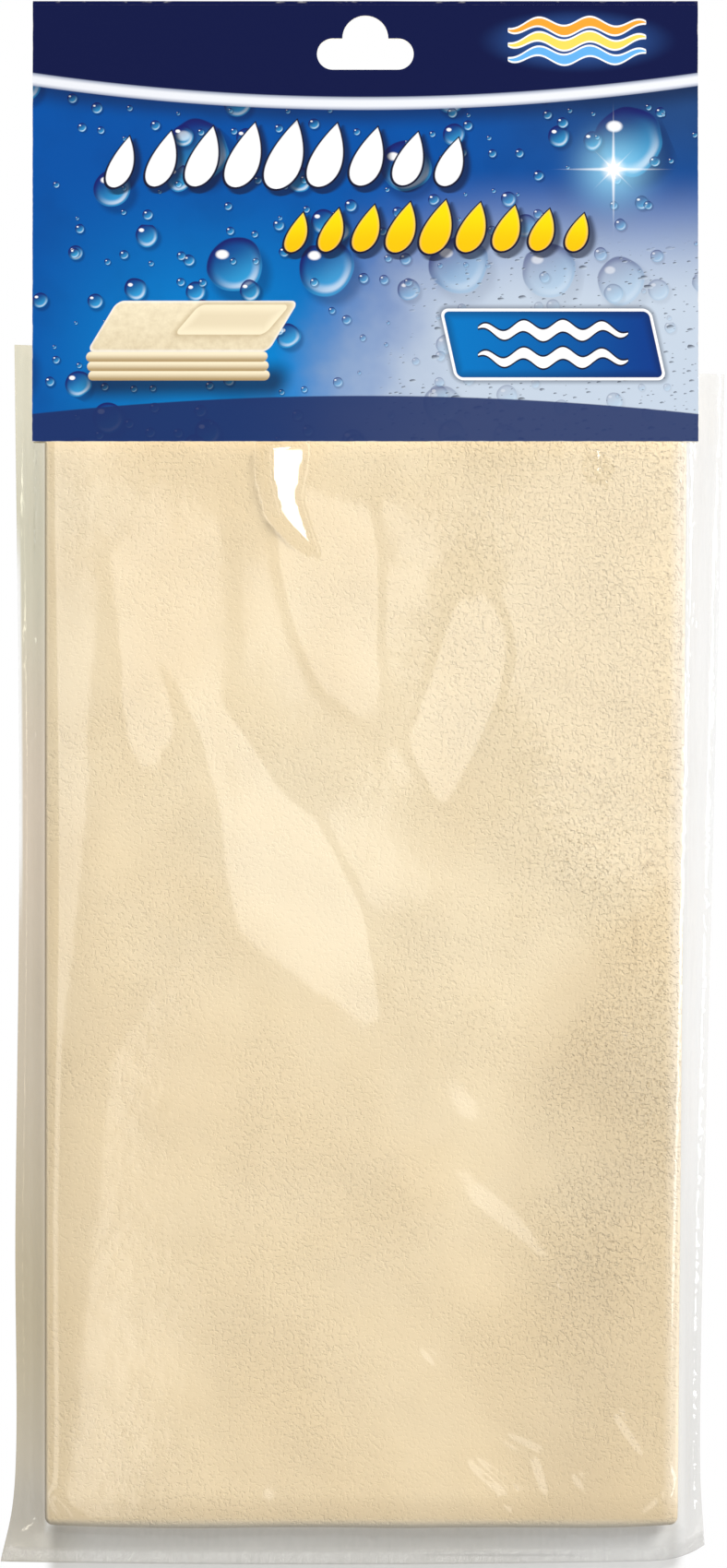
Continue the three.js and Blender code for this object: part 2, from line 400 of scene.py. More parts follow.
card = {
    "width": 220,
    "height": 146,
    "board": 0.5,
    "creaseInner": 0.6,
    "scoreGap": 0.3,
    "slotDrop": 4.9,  # from the card's top edge to the hang slot's crown
    "footHalf": 6.15,
}
card["creaseOuter"] = card["creaseInner"] + card["board"]
card["foot"] = card["slotDrop"] - card["height"]
card["creaseZ"] = card["slotDrop"] - card["creaseOuter"]
card["tilt"] = math.atan((card["footHalf"] - card["creaseInner"]) / (card["height"] - card["creaseOuter"]))
card["scoreY"] = card["creaseInner"] * math.cos(card["tilt"])
card["scoreZ"] = card["creaseZ"] + card["creaseInner"] * math.sin(card["tilt"])


# Bag

bag = {
    "leftSide": [(-116.1, -108.8), (-114.5, -269.88), (-115.8, -400), (-116.4, -490), (-120.7, -511.5)],
    "rightSide": [(118.9, -118.6), (115, -275.56), (110.8, -483), (112.2, -511)],
    "wall": 0.15,
    "parting": 0.3,
    "foldMargin": 2,
    "firstStep": 2.3,  # from a side fold to the first points of the walls
    "sideShoulder": 14,
    "footShoulder": 13,
    "weldHeight": 4.3,
    "weldBlend": 0.004,  # share of the length over which the walls close on the weld
    "sealHalf": 0.12,
    "bodyHalf": 4.25,
    "stripStack": 0.8,
    "mouthRun": 45,
    "footSag": 1.2,
    "cornerLift": 5,
    "cornerRun": 22,
    "grain": 1.3,  # size of the mesh's faces
    "shoulderSteps": 15,
    "weldSteps": 6,
    "foldSteps": 7,
}
bag["span"] = bag["rightSide"][0][0] - bag["leftSide"][0][0]


def sideLine(points):
    # the centripetal curve through these points, and how far along it each sample is
    points = np.array(points, float)
    ends = [2 * points[0] - points[1], *points, 2 * points[-1] - points[-2]]
    share = np.linspace(0, 1, 101)[:-1, None]
    samples = []
    for before, start, end, after in zip(ends, ends[1:], ends[2:], ends[3:]):
        run = [np.linalg.norm(b - a) ** 0.5 for a, b in ((before, start), (start, end), (end, after))]
        leave = (start - before) / run[0] - (end - before) / (run[0] + run[1]) + (end - start) / run[1]
        reach = (end - start) / run[1] - (after - start) / (run[1] + run[2]) + (after - end) / run[2]
        leave, reach = leave * run[1], reach * run[1]
        square, cube = -3 * start + 3 * end - 2 * leave - reach, 2 * start - 2 * end + leave + reach
        samples.append(start + leave * share + square * share**2 + cube * share**3)
    line = np.vstack([*samples, points[-1:]])
    run = np.concatenate([[0], np.cumsum(np.linalg.norm(np.diff(line, axis=0), axis=1))])
    return line, run


def alongSide(side, share):
    line, run = side
    return np.stack([np.interp(share * run[-1], run, line[:, axis]) for axis in (0, 1)], axis=-1)


leftSide, rightSide = sideLine(bag["leftSide"]), sideLine(bag["rightSide"])
bag["length"] = leftSide[1][-1]
bag["weldShare"] = 1 - bag["weldHeight"] / bag["length"]


def bagPoint(across, down):
    # x and z of the flat outline, across from left to right and down from mouth to foot
    left, right = alongSide(leftSide, down), alongSide(rightSide, down)
    point = left + (right - left) * across[..., None]
    nearFoot = eased(down, bag["weldShare"] - 4 * bag["footShoulder"] / bag["length"], bag["weldShare"])
    fromCorner = np.clip(1 - (1 - across) * bag["span"] / bag["cornerRun"], 0, 1)
    lift = bag["cornerLift"] * fromCorner**3 - bag["footSag"] * 4 * across * (1 - across)
    return point[..., 0], point[..., 1] + nearFoot * lift


def filmHalf(z):
    # how far the film stands from the middle plane, away from its edges
    strip = bag["stripStack"] / math.cos(card["tilt"])
    under = card["scoreY"] + (card["scoreZ"] - z) * math.tan(card["tilt"]) - strip
    atFoot = card["footHalf"] - strip
    below = atFoot + (bag["bodyHalf"] - atFoot) * eased(card["foot"] - z, 0, bag["mouthRun"])
    return np.where(z > card["foot"], under, below)


def fullness(across, down):
    # 0 at the bag's folds and weld, 1 where its walls stand fully apart
    left, right = alongSide(leftSide, down), alongSide(rightSide, down)
    width = np.linalg.norm(right - left, axis=-1)
    side = np.minimum(across, 1 - across) * width - bag["foldMargin"]
    side = np.clip(side / (bag["sideShoulder"] - bag["foldMargin"]), 0, 1)
    foot = np.clip((bag["weldShare"] - down) * bag["length"] / bag["footShoulder"], 0, 1)
    return np.sin(np.pi / 2 * side) * np.sin(np.pi / 2 * foot)


def pressed(stand, down):
    # how far the film stands out, once the weld has pressed it flat
    closed = eased(down, bag["weldShare"] - bag["weldBlend"], bag["weldShare"])
    return stand + (bag["sealHalf"] - stand) * closed


# How the film lies over the skin, in lines of (x, z). A facet is an outline and how steeply the film rises in
# it, to the right and upwards. The film is drawn taut between facets.
frontFacets = [
    ([(-85, -177), (-70, -171), (-46, -168), (-42, -190), (-42, -214), (-49, -232), (-61, -227),
      (-74, -207), (-82, -219)], (0.05, 0)),
    ([(-85, -177), (-80, -220), (-79, -243), (-62, -243), (-49, -254), (-45, -287), (-84, -342),
      (-100, -495), (-107, -495), (-104, -360), (-99, -324), (-92, -263), (-89, -220)], (-0.035, -0.02)),
    ([(-80, -220), (-75, -208), (-65, -225), (-61, -238), (-72, -246), (-79, -243)], (0.1, 0.02)),
    ([(-61, -226), (-46, -231), (-41, -237), (-29, -257), (-16, -265), (1, -296), (5, -330), (-2, -329),
      (-20, -321), (-41, -307), (-45, -287), (-46, -263), (-52, -241)], (0.1, 0.05)),
    ([(-30, -159), (-29, -184), (-25, -202), (-16, -224), (-1, -236), (8, -241), (10, -232), (5, -208),
      (4, -159)], (0.085, 0.04)),
    ([(5, -208), (9.5, -236), (15, -226), (18, -205), (19, -177), (5, -177)], (-0.01, 0.07)),
    ([(29, -194), (40, -191), (47, -197), (50, -211), (44, -230), (34, -249), (25, -260), (19, -252),
      (14, -243), (10, -240), (17, -231), (23, -213)], (0.11, 0.03)),
    ([(60, -177), (56, -214), (60, -287), (111, -290), (111, -177)], (-0.015, -0.01)),
    ([(29, -348), (31.5, -349), (36, -358), (37, -366), (31, -368), (27, -358)], (-0.055, -0.13)),
    ([(34, -377), (39, -386), (51, -396), (60, -409), (63, -415), (58, -412), (48, -403), (39, -396),
      (32, -389), (29.5, -381)], (-0.05, -0.1)),
]
backFacets = [
    ([(-78, -160), (-30, -170), (-38, -250), (-70, -236)], (0.06, 0.02)),
    ([(-20, -190), (14, -180), (30, -262), (2, -330), (-14, -270)], (0.05, -0.03)),
    ([(40, -200), (84, -190), (76, -300), (50, -330)], (-0.05, 0.03)),
    ([(-80, -330), (-40, -300), (-10, -400), (-60, -450)], (0.04, 0.03)),
    ([(10, -380), (60, -360), (74, -440), (30, -470)], (-0.05, -0.03)),
]
# a crease is a sharp ridge: its line, its height, and how far it reaches to its left and right
frontCreases = [
    ([(85.5, -337), (87, -352)], 0.2, 2.6, 1.6),
    ([(64, -417), (67, -423)], 0.25, 1.4, 0.9),
    ([(19.5, -440.5), (25.5, -446.5)], 0.25, 1.4, 0.9),
    ([(36, -478), (46, -486), (50, -494)], 0.5, 2, 1.6),
    ([(46, -470), (58, -476), (62, -490)], 0.45, 2.4, 1.5),
    ([(70, -482), (76, -490)], 0.4, 2, 1.5),
    ([(84, -462), (94, -476)], 0.5, 2, 1.6),
    ([(-30, -489), (20, -490), (70, -488)], 0.35, 2.2, 2.2),
    ([(-108, -488), (-100, -497), (-88, -505)], 0.8, 2.5, 2),
    ([(92, -497), (101, -490), (108, -479)], 0.5, 2.2, 2.5),
]
# the buckle under the card's foot falls at one slope from its left line to its right one
frontBuckle = {
    "left": [(-32.4, -141), (-31.8, -153.6), (-28.9, -165.8), (-20.5, -175), (-15, -180)],
    "right": [(-19.1, -141), (-19.7, -160), (-17.2, -168), (-13.5, -178), (-12.6, -181)],
    "slope": 0.315,
    "back": 3,  # how far to its left it rises
    "onset": 1.5,  # how far below the card's foot it is full
}
relief = {
    "left": -126,
    "right": 126,
    "low": -516,
    "high": -120,
    "step": 1.5,
    "coarseness": (16, 8, 4, 2, 1),  # of the grids that it is solved on, one after another
    "sweeps": 220,
    "swell": 0.05,
    "swellLengths": (70, 180),
    "frontSeed": 5,
    "backSeed": 11,
    "cardReach": 22,  # how far below the card's foot the film is still held flat
}


def inside(x, z, outline):
    # whether each point lies in a closed outline
    result = np.zeros(x.shape, bool)
    for (x0, z0), (x1, z1) in zip(outline, outline[1:] + outline[:1]):
        if z0 != z1:
            result ^= ((z0 > z) != (z1 > z)) & (x < x0 + (z - z0) / (z1 - z0) * (x1 - x0))
    return result


def stretched(grid, shape):
    # the grid at another number of rows and columns
    rows, columns = (np.linspace(0, size - 1, new) for size, new in zip(grid.shape, shape))
    wide = np.stack([np.interp(columns, np.arange(grid.shape[1]), row) for row in grid])
    return np.stack([np.interp(rows, np.arange(grid.shape[0]), column) for column in wide.T], axis=1)


def softened(field):
    for axis in (0, 1):
        field = (np.roll(field, 1, axis) + 2 * field + np.roll(field, -1, axis)) / 4
    return field


def tautFilm(facets):
    # heights that come closest to the facets' slopes and never go into the skin, on finer and finer grids
    field = np.zeros((4, 4))
    for coarseness in relief["coarseness"]:
        step = relief["step"] * coarseness
        across = np.arange(relief["left"], relief["right"] + step / 2, step)
        up = np.arange(relief["low"], relief["high"] + step / 2, step)
        x, z = np.meshgrid(across, up)
        field = stretched(field, x.shape)
        slopes = np.zeros((2, *x.shape))
        for outline, slope in facets:
            slopes[:, inside(x, z, outline)] = np.array(slope)[:, None]
        right = (slopes[0][1:-1, 1:] + slopes[0][1:-1, :-1]) / 2
        top = (slopes[1][1:, 1:-1] + slopes[1][:-1, 1:-1]) / 2
        bend = (right[:, 1:] - right[:, :-1] + top[1:] - top[:-1]) * step
        for _ in range(relief["sweeps"]):
            around = field[2:, 1:-1] + field[:-2, 1:-1] + field[1:-1, 2:] + field[1:-1, :-2]
            field[1:-1, 1:-1] = np.maximum((around - bend) / 4, 0)
    return softened(softened(field))


def sampled(field, x, z):
    column, row = (x - relief["left"]) / relief["step"], (z - relief["low"]) / relief["step"]
    c0 = np.clip(column.astype(int), 0, field.shape[1] - 2)
    r0 = np.clip(row.astype(int), 0, field.shape[0] - 2)
    c, r = np.clip(column - c0, 0, 1), np.clip(row - r0, 0, 1)
    top = field[r0 + 1, c0] * (1 - c) + field[r0 + 1, c0 + 1] * c
    under = field[r0, c0] * (1 - c) + field[r0, c0 + 1] * c
    return top * r + under * (1 - r)


def creaseHeight(x, z, line, height, left, right):
    best, side, along = np.full(x.shape, np.inf), np.zeros(x.shape), np.zeros(x.shape)
    lengths = [math.dist(a, b) for a, b in zip(line, line[1:])]
    done = 0
    for (x0, z0), (x1, z1), length in zip(line, line[1:], lengths):
        dx, dz = (x1 - x0) / length, (z1 - z0) / length
        t = np.clip((x - x0) * dx + (z - z0) * dz, 0, length)
        ox, oz = x - x0 - t * dx, z - z0 - t * dz
        away = np.hypot(ox, oz)
        nearer = away < best
        best = np.where(nearer, away, best)
        side = np.where(nearer, dx * oz - dz * ox, side)  # above 0 on the right of a line that runs down
        along = np.where(nearer, (done + t) / sum(lengths), along)
        done += length
    reach = np.where(side > 0, right, left)
    taper = np.sin(np.pi * np.clip(along * 0.9 + 0.05, 0, 1)) ** 0.5
    return height * taper * np.exp(-((best / reach) ** 2))


def reliefAt(x, z, facets, creases, seed):
    swell = relief["swell"] * (1 + waves(x, z, seed, relief["swellLengths"]))
    height = sampled(tautFilm(facets), x, z) + swell
    for ridge in creases:
        height = height + creaseHeight(x, z, *ridge)
    return height * eased(card["foot"] - z, 0, relief["cardReach"])


def crossing(line, z):
    # the x at which a line that runs down passes each height
    lineX, lineZ = np.transpose(line)
    return np.interp(-z, -lineZ, lineX)


def buckleHeight(x, z, left, right, slope, back, onset):
    start, end = crossing(left, z), crossing(right, z)
    rise = np.where(x > start, slope * (end - x), slope * (end - start) * (1 - (start - x) / back))
    shown = eased(card["foot"] - z, 0, onset) * (z > right[-1][1])
    return np.clip(rise, 0, None) * shown


def bagMesh(material):
    # one lofted tube of film: front wall, right fold, back wall and left fold, from mouth to welded foot
    shoulder, span, grain = bag["sideShoulder"], bag["span"], bag["grain"]
    rising = np.linspace(bag["firstStep"], shoulder, bag["shoulderSteps"])[:-1] / span
    middle = np.linspace(shoulder, span - shoulder, int((span - 2 * shoulder) / grain)) / span
    across = np.concatenate([rising, middle, (1 - rising)[::-1]])
    above = np.linspace(0, bag["weldShare"], int(bag["length"] / grain))
    down = np.concatenate([above[:-1], np.linspace(bag["weldShare"], 1, bag["weldSteps"])])
    wide, tall = np.meshgrid(across, down)
    x, z = bagPoint(wide, tall)
    full = fullness(wide, tall)
    edge = bag["parting"] / 2 + bag["wall"]
    half = edge + (filmHalf(z) - edge) * full - bag["wall"] / 2
    frontLift = reliefAt(x, z, frontFacets, frontCreases, relief["frontSeed"])
    frontLift = np.maximum(frontLift, buckleHeight(x, z, **frontBuckle))
    backLift = reliefAt(x, z, backFacets, [], relief["backSeed"])
    front, back = (
        np.stack([x, side * pressed(half + full * lift, tall), z], axis=-1)
        for side, lift in ((-1, frontLift), (1, backLift))
    )
    bend = edge - bag["wall"] / 2
    turns = np.linspace(-np.pi / 2, np.pi / 2, bag["foldSteps"])
    share = (bend - bend * np.cos(turns)) / span
    folds = []
    for atFold in (1 - share, share):
        wide, tall = np.meshgrid(atFold, down)
        x, z = bagPoint(wide, tall)
        folds.append(np.stack([x, pressed(bend, tall) * np.sin(turns), z], axis=-1))
    loop = np.concatenate([front, folds[0], back[:, ::-1], folds[1][:, ::-1]], axis=1)
    rows, columns = loop.shape[:2]
    one = (rows - 1) * columns + np.arange(len(across) - 1)
    other = (rows - 1) * columns + 2 * len(across) + len(turns) - 1 - np.arange(len(across) - 1)
    closing = np.stack([one, other, other - 1, one + 1], axis=1)
    quads = np.vstack([gridQuads(rows, columns, closed=True), closing])
    piece = meshPiece("bag_film", loop, quads, material, "pack")
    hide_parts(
        "bag_front_film", "bag_back_film", "bag_left_side_fold", "bag_right_side_fold", "bag_foot_weld"
    )
    seal = eased(down, bag["weldShare"] - 0.002, bag["weldShare"] + 0.001)
    paintPoints(piece, "seal", np.repeat(seal, columns))
    fromFold = np.minimum(across, 1 - across) * span
    fromFold = np.concatenate([fromFold, turns * 0, fromFold, turns * 0])
    paintPoints(piece, "fromFold", np.tile(fromFold, rows))
    return piece


film = {
    "gloss": 0.055,  # of the light, reflected head-on
    "clungLoss": 0.65,  # of that gloss, where the film clings to the skin's lower right edge
    "roughness": 0.07,
    "milkRoughness": 0.55,
    "haze": 0.03,
    "sealHaze": 0.16,
    "marginHaze": 0.12,  # beside the skin, where two layers cling together
    "hazeColour": (0.55, 0.545, 0.53, 1),
    "brightHaze": (0.88, 0.85, 0.83, 1),  # beside the skin, above its foot
    "warmBounceHaze": (0.8, 0.72, 0.56, 1),  # painted warm bounce light from the skin, down the left side
    "tint": (0.955, 0.957, 0.953, 1),
    # painted shade: the skin's shadow, warmed by its bounce light, down the left margin, from the card to the
    # foot
    "leftShadowTints": [
        (-130, (0.86, 0.845, 0.76, 1)), (-175, (0.79, 0.775, 0.685, 1)), (-260, (0.81, 0.75, 0.67, 1)),
        (-340, (0.75, 0.7, 0.615, 1)), (-430, (0.69, 0.64, 0.525, 1)), (-496, (0.7, 0.67, 0.605, 1)),
        (-510, (0.78, 0.755, 0.69, 1)),
    ],
    "rightTint": (0.925, 0.92, 0.91, 1),
    # painted shade over the film below the skin's foot
    "footShadowTint": (0.915, 0.91, 0.89, 1),
    "belowSkin": (-497, -503),  # heights between which the painted shade below the skin's foot sets in
    "leftCorner": (-88, -114),  # and where the left margin's painted shade takes over from it
    # heights in metres
    "crinkle": 0.00003,
    "pleats": 0.0002,
    "crumple": 0.0006,
    "crimp": 0.0001,
    "sparkle": 0.0005,
    "sparkleZ": -508.5,  # along the weld
    "sparkleAt": (77.5, -150),  # and in a spot under the card
    "sparkleReach": 6,
    # ridges of film that catch the light: x, highest and lowest z, wander, half width and slope
    "glints": [
        (-108.9, -141, -190, 0.5, 0.7, 0.74),
        (104.6, -141, -205, 1.6, 0.5, 0.32),
        (106.6, -143, -240, 0.9, 0.45, 0.32),
        (76.8, -143, -154, 0.6, 0.8, 0.31),
        (79.6, -144, -158, 0.8, 0.7, 0.31),
        (82.2, -145, -155, 0.6, 0.7, 0.31),
    ],
}


def glintRidges(point, x, z):
    # broken upright ridges, most of them beside the skin's edges
    drawn = upright(point, 0.4)
    shake = (noise(drawn, 60) - 0.5) * 2
    broken = stepped(noise(drawn, 260, 2, 0.6), 0.5, 0.53)
    total = 0
    for at, high, low, wander, half, slope in film["glints"]:
        ridge = (half - (x - at - shake * wander).size()).atLeast(0) * (slope * mm)
        total = ridge * stepped(z, high + 2, high - 2) * stepped(z, low, (low * 2 + high) / 3) + total
    return broken * total


def filmRise(point, x, z, seal, beside, margin, streaks):
    # the relief that is finer than the mesh, in metres
    pleats = streaks * beside * stepped(z, -300, -180)
    crumple = (noise(point, 95, 2, 0.5, 0.4) - 0.5).size() * margin
    rise = noise(point, 160, 3, 0.55) * film["crinkle"] + pleats * film["pleats"] + crumple * film["crumple"]
    rise = rise + noise(point, 1500, 1) * seal * film["crimp"]
    alongWeld = stepped((z - film["sparkleZ"]).size(), 1.3, 0.4) * stepped(x, 8, 30) * stepped(x, 78, 60)
    fromSpot = distance(x - film["sparkleAt"][0], z - film["sparkleAt"][1])
    sparkle = stepped(fromSpot, film["sparkleReach"], 1).atLeast(alongWeld) * noise(point, 520)
    return rise + glintRidges(point, x, z) + sparkle * film["sparkle"]


def filmTintAndShade(x, z, outer, foldHighlight):
    # painted shade: the film beside the skin's left edge and below its foot is darkened and warmed where the
    # skin's shadow and warm bounce light fall, and lifted along the fold as a painted highlight
    (high, leftShadowTint), *others = film["leftShadowTints"]
    for low, lowerShadowTint in others:
        leftShadowTint = mixed(stepped(z, high, low), leftShadowTint, lowerShadowTint)
        high = low
    below, corner = stepped(z, *film["belowSkin"]), stepped(x, *film["leftCorner"])
    tint = mixed(outer * stepped(x, 0, 1) * stepped(z, -330, -500), film["tint"], film["rightTint"])
    tint = mixed(below * stepped(x, 85, 30), tint, film["footShadowTint"])
    leftShadowShare = (outer * stepped(x, 0, -1)).atLeast(below * corner).atMost(1 - below + corner)
    return mixed(leftShadowShare * (1 - foldHighlight), tint, leftShadowTint)


def filmMaterial():
    material, tree = begun(bpy.data.materials.new("clearFilm"))
    point, x, z = surfacePoint(tree)
    seal = add(tree, "Attribute", attribute_name="seal").out("Fac")
    fromFold = add(tree, "Attribute", attribute_name="fromFold").out("Fac")
    beside = stepped(x.size(), skin["left"] - 4, skin["left"] + 2)
    outer = stepped(x.size(), skin["left"] - 2, skin["left"] + 1)
    margin = beside.atLeast(stepped(z, 3 - skin["footDrop"], -1 - skin["footDrop"]))
    # painted warm bounce light from the skin, down the left side
    warm = stepped(x, 15 - skin["left"], -2 - skin["left"]) * stepped(z, -492, -474)
    # painted highlight along the folds, partway down: the left margin's painted shade and its haze are lifted
    # there
    foldHighlight = stepped(fromFold, 1.6, 0.4) * stepped(z, -160, -190) * stepped(z, -310, -270)
    streaks = noise(upright(point, 0.07), 420)
    normal = bumped(filmRise(point, x, z, seal, beside, margin, streaks), 1)

    cloudy = stepped(noise(point, 38, 3), 0.35, 0.75)
    dense = margin * (1 - warm * 0.3) * (streaks * 1.2 + 0.4) * (1 - foldHighlight * 0.9)
    haze = (cloudy + 0.5) * film["haze"] + seal * film["sealHaze"] + dense * film["marginHaze"]
    tone = mixed(outer * stepped(z, -480, -340), film["hazeColour"], film["brightHaze"])
    milk = {
        "Base Color": mixed(warm, tone, film["warmBounceHaze"]),
        "Roughness": film["milkRoughness"],
        "Specular IOR Level": 0.1,
        "Normal": normal,
    }
    clear = add(tree, "BsdfTransparent", {"Color": filmTintAndShade(x, z, outer, foldHighlight)})
    body = blended(haze, clear, add(tree, "BsdfPrincipled", milk))
    facing = add(tree, "LayerWeight", {"Blend": 0.5, "Normal": normal}).out("Facing")
    clung = stepped((x - skin["rightFoot"] - 1).size(), 5, 2) * stepped(z, -270, -330)
    shine = (facing**5 * (1 - film["gloss"]) + film["gloss"]) * (1 - clung * film["clungLoss"])
    mirror = {"Color": white, "Roughness": film["roughness"], "Normal": normal}
    return finished(material, blended(shine, body, add(tree, "BsdfAnisotropic", mirror)))


# Skin

skin = {
    "thickness": 1,
    "topDrop": 126,
    "footDrop": 500.6,
    "left": 106,
    "rightTop": 106.4,
    "rightFoot": 103.3,
    "centreGap": 1.2,
    "edgeGap": 0.35,
    "crownRun": 24,
    "flapWidth": 86,
    "flapNeck": 14,
    "backLegShort": 6,
    "footCorner": 4.5,
    "grain": 2.2,
    "turnSteps": 13,
    "bendSteps": 17,
    "unevenness": 0.2,
    "swellLengths": (30, 90),
    "seed": 3,
}


def layerGap(x, z):
    run = np.clip((skin["left"] - np.abs(x)) / skin["crownRun"], 0, 1)
    swell = np.clip(waves(x, z, skin["seed"], skin["swellLengths"]) - 1.6, -2.4, 0)
    middle = skin["centreGap"] * (1 + skin["unevenness"] * swell / 2)
    return skin["edgeGap"] + (middle - skin["edgeGap"]) * np.sin(np.pi / 2 * run)


def skinMesh(material):
    # one skin, folded in behind at both sides and then in half with its fold at the foot
    thickness, grain = skin["thickness"], skin["grain"]
    stackHalf = 2 * thickness + 1.5 * skin["centreGap"]
    foldRadius = (thickness + skin["edgeGap"]) / 2
    flat = skin["left"] - thickness / 2 - foldRadius
    bendZ = -skin["footDrop"] + stackHalf
    faceX = np.linspace(0, flat, int(flat / grain))
    turn = np.linspace(0, np.pi, skin["turnSteps"])[1:-1]
    inward = np.linspace(0, 1, int(skin["flapWidth"] / grain))
    x = np.concatenate([faceX, flat + foldRadius * np.sin(turn), np.full(len(inward), flat)])
    angle = np.concatenate([np.zeros(len(faceX)), turn, np.full(len(inward), np.pi)])
    share = np.concatenate([np.zeros(len(faceX) + len(turn)), inward])
    x, angle, share = (np.concatenate([part[:0:-1], part]) for part in (x, angle, share))
    sign = np.where(np.arange(len(x)) < len(x) // 2, -1, 1)
    leaf = int((-skin["topDrop"] - bendZ) / grain)
    bend = np.linspace(0, np.pi, skin["bendSteps"])[1:-1]
    z = np.concatenate([
        np.linspace(-skin["topDrop"], bendZ, leaf),
        np.full(len(bend), bendZ),
        np.linspace(bendZ, -skin["topDrop"] - skin["backLegShort"], leaf),
    ])
    over = np.concatenate([np.zeros(leaf), bend, np.full(leaf, np.pi)])
    z, over = z[:, None], over[:, None]
    height = (z - bendZ) / (-skin["topDrop"] - bendZ)
    flap = skin["flapWidth"] - skin["flapNeck"] * height**2
    middleX = x - flap * share
    gap = layerGap(middleX * sign, z)
    depth = (thickness + gap) * (1 - np.cos(angle)) / 2
    right = skin["rightFoot"] + (skin["rightTop"] - skin["rightFoot"]) * height
    sides = []
    for offset in (thickness / 2, -thickness / 2):
        fromMiddle = 1.5 * (thickness + gap) - (depth - offset * np.cos(angle))
        across = middleX + offset * np.sin(angle)
        across = np.where(sign < 0, -across, across * right / skin["left"])
        down = z - fromMiddle * np.sin(over)
        nearFoot = np.clip(1 - (down + skin["footDrop"]) / skin["footCorner"], 0, 1)
        pulled = 1 - skin["footCorner"] * (1 - np.sqrt(1 - nearFoot**2)) / skin["left"]
        points = [across * pulled, -fromMiddle * np.cos(over), down]
        sides.append(np.stack(np.broadcast_arrays(*points), axis=-1))
    rows, columns = sides[0].shape[:2]
    count = rows * columns
    top, left = np.arange(columns), np.arange(rows) * columns
    rims = [
        np.stack([line[:-1], line[:-1] + count, line[1:] + count, line[1:]], axis=1)
        for line in (top[::-1], count - columns + top, left, (left + columns - 1)[::-1])
    ]
    quads = np.vstack([gridQuads(rows, columns), gridQuads(rows, columns, count)[:, ::-1], *rims])
    piece = meshPiece("folded_chamois", np.stack(sides), quads, material, "folded_skin")
    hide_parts("chamois_skin")
    return piece


suede = {
    "pale": rgb(244, 227, 193),
    "warm": rgb(238, 216, 176),
    "shade": rgb(222, 200, 158),
    "paintedShade": rgb(208, 186, 148),  # painted shade, low on the right and just above the foot
    # painted shade along the left fold and edge
    "fold": rgb(176, 154, 112),
    "foldShadeShare": 0.18,  # share of the painted fold shade, down the left side
    "speckle": rgb(188, 164, 124),
    # painted light where the foot fold and the left edge turn away from the lamps
    "paintedFoldLight": rgb(253, 240, 214),
    # painted highlight along the right edge, and its width
    "paintedEdgeHighlight": rgb(255, 243, 226),
    "paintedEdgeHighlightWidth": 6,
    "mark": rgb(176, 150, 112),
    "scuff": (93, -281),  # a darker rubbed place, with faint lines running down from it
    "scuffLength": 62,
    # heights in metres
    "pebble": 0.00026,
    "pits": 0.0004,
    "soft": 0.0009,
    "bump": 0.6,
    "roughness": 0.92,
    "sheen": 0.2,
}


def suedeRough(point, x, z):
    # where the nap is rough: in patches, most at the upper right and down the right side
    patchy = stepped(noise(point, 22), 0.35, 0.65)
    upper = stepped(x + z * 0.15, -40, 40) * stepped(z, -350, -230)
    side = stepped(x + (patchy - 0.5) * 20, 58, 82) * stepped(z, -480, -380)
    return upper.atLeast(side * 1.3) + patchy * 0.45 + 0.15


def suedeMarks(point, x, z):
    # the rubbed place, and the lines below it
    beside, below = (x - suede["scuff"][0]).size(), suede["scuff"][1] - z
    speckle = stepped(noise(point, 330, 3, 0.6), 0.42, 0.62)
    lines = stepped(noise(upright(point, 0.06), 480), 0.5, 0.66) * stepped(beside, 8, 3)
    lines = lines * stepped(below, 0, 6) * stepped(below, suede["scuffLength"], 20)
    return (stepped(distance(beside, below), 9, 1) * speckle * 0.4).atLeast(lines * 0.3)


def suedeTone(point, x, z, broad, cloud, rough):
    # the tones of the nap: cloudy and warmer low on the left, with painted shade low on the right, just above
    # the foot and along the left fold, a painted highlight along the right one, and painted light where the
    # foot and the left edge turn away
    rightLean = (skin["rightTop"] - skin["rightFoot"]) / (skin["footDrop"] - skin["topDrop"])
    fromRight = x - skin["rightFoot"] - (z + skin["footDrop"]) * rightLean
    right = stepped(x + (broad - 0.5) * 60, 30, 84) * stepped(z + (cloud - 0.5) * 40, -290, -390)
    dots = stepped(noise(point, 1150, 2, 0.6), 0.57, 0.68) * (rough * 0.42)
    leftFoldShadeShare = stepped(x, -85, -106) * stepped(z, -250, -450, 1, 1.3) * suede["foldShadeShare"]
    rightHighlightShare = stepped(fromRight, -suede["paintedEdgeHighlightWidth"], -0.5) * stepped(z, -420, -260, 0.55, 0.85)
    foldLightShare = stepped(z, -496.5, -500).atLeast(stepped(x, -104, -106, 0, 0.7))
    tone = mixed(stepped(broad, 0.35, 0.68), suede["pale"], suede["warm"])
    for share, colour in (
        (stepped(x * 0.55 + z, -210, -520, 0, 0.75), "warm"),  # low on the left
        (stepped(cloud, 0.4, 0.75, 0, 0.2), "shade"),
        # painted shade low on the right
        (right * stepped(z, -410, -330, 0.45, 0.8), "paintedShade"),
        (stepped(x, 0, 70) * stepped(z, -310, -230, 0, 0.4), "shade"),  # the upper right
        (dots, "speckle"),
        # painted shade along the left fold
        (leftFoldShadeShare, "fold"),
        (stepped(x, -101, -106, 0, 0.1), "fold"),  # painted shade at the left edge
        # painted highlight along the right edge
        (rightHighlightShare, "paintedEdgeHighlight"),
        (stepped(z, -487, -496, 0, 0.5), "paintedShade"),  # painted shade just above the foot
        # painted light where the foot fold and the left edge turn away from the lamps
        (foldLightShare, "paintedFoldLight"),
        (suedeMarks(point, x, z), "mark"),
    ):
        tone = mixed(share, tone, suede[colour])
    return tone


